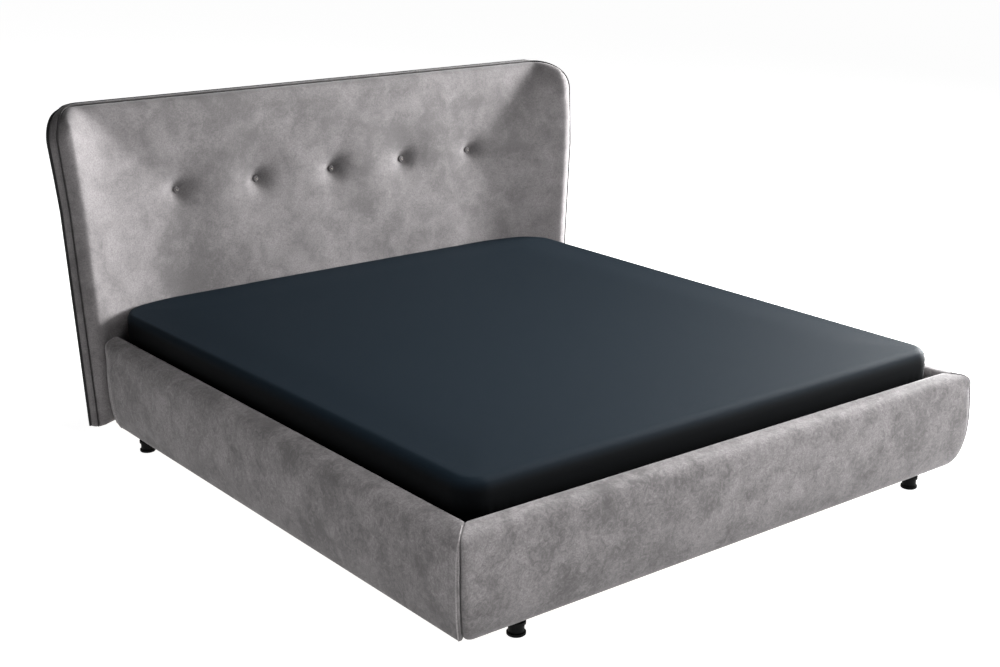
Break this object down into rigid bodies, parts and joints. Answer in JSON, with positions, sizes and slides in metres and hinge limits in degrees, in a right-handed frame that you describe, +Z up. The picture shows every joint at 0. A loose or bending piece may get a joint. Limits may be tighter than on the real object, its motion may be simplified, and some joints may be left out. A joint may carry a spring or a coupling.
{
  "type": "upholstered bed",
  "caption": "Upholstered double bed with a curved, button-tufted headboard, low padded rails, slatted bases and a mattress in a fitted sheet.",
  "frame": {"origin": "on the floor, at the middle of the bed's outer width and length", "axes": "+X to the right seen from the foot end, +Y towards the headboard, +Z up"},
  "size_m": [2.1722, 2.159, 1.096],
  "materials": {
    "velour": "mottled light grey velour, soft and matt",
    "velour_band": "the same grey velour round the headboard's edge",
    "back_cloth": "plain dark lining cloth",
    "plywood": "raw bent birch plywood",
    "chipboard": "raw board",
    "spruce": "planed softwood",
    "beech": "clear-varnished beech veneer",
    "foam": "open-cell padding",
    "cord": "twisted upholstery twine",
    "toggle_plastic": "matt moulded plastic",
    "black_plastic": "black, slightly satin",
    "black_rubber": "black slat holders",
    "zinc_steel": "zinc-plated",
    "black_steel": "black powder coat",
    "mattress_ticking": "white knitted ticking",
    "sheet_cloth": "smooth dark blue-black sheet"
  },
  "bodies": {
    "frame": {"headboard_cushion": "velour", "headboard_panel": "plywood", "headboard_bottom_rail": "spruce", "headboard_top_rail": "spruce", "headboard_posts": "spruce", "headboard_band": "velour_band", "headboard_back_cloth": "back_cloth", "headboard_buttons": "velour", "tuft_cords": "cord", "tuft_toggles": "toggle_plastic", "left_rail_board": "chipboard", "left_rail_strip": "chipboard", "left_rail_foam": "foam", "left_rail_cover": "velour", "right_rail_board": "chipboard", "right_rail_strip": "chipboard", "right_rail_foam": "foam", "right_rail_cover": "velour", "foot_rail_board": "chipboard", "foot_rail_strip": "chipboard", "foot_rail_foam": "foam", "foot_rail_cover": "velour", "head_board": "chipboard", "left_ledge": "spruce", "right_ledge": "spruce", "foot_ledges": "spruce", "centre_beam": "spruce", "beam_shoes": "zinc_steel", "centre_legs": "black_steel", "centre_leg_glides": "black_plastic", "corner_brackets": "zinc_steel", "bracket_bolts": "zinc_steel", "headboard_spacers": "spruce", "headboard_bolts": "zinc_steel", "left_front_foot": "black_plastic", "right_front_foot": "black_plastic", "left_rear_foot": "black_plastic", "right_rear_foot": "black_plastic"},
    "left_base": {"left_base_long_bars": "spruce", "left_base_cross_bars": "spruce", "left_base_slats": "beech", "left_base_slat_caps": "black_rubber"},
    "right_base": {"right_base_long_bars": "spruce", "right_base_cross_bars": "spruce", "right_base_slats": "beech", "right_base_slat_caps": "black_rubber"},
    "mattress": {"mattress": "mattress_ticking", "fitted_sheet": "sheet_cloth"}
  },
  "joints": [
    {"name": "mattress_lift", "type": "slide", "parent": "frame", "child": "mattress", "axis": [0, 0, 1], "range_m": [0, 1.35]},
    {"name": "left_base_lift", "type": "slide", "parent": "frame", "child": "left_base", "axis": [0, 0, 1], "range_m": [0, 1.02]},
    {"name": "right_base_lift", "type": "slide", "parent": "frame", "child": "right_base", "axis": [0, 0, 1], "range_m": [0, 1.02]}
  ],
  "couplings": [
    {"joint": "left_base_lift", "follows": "mattress_lift", "ratio": 0.75},
    {"joint": "right_base_lift", "follows": "mattress_lift", "ratio": 0.75}
  ]
}
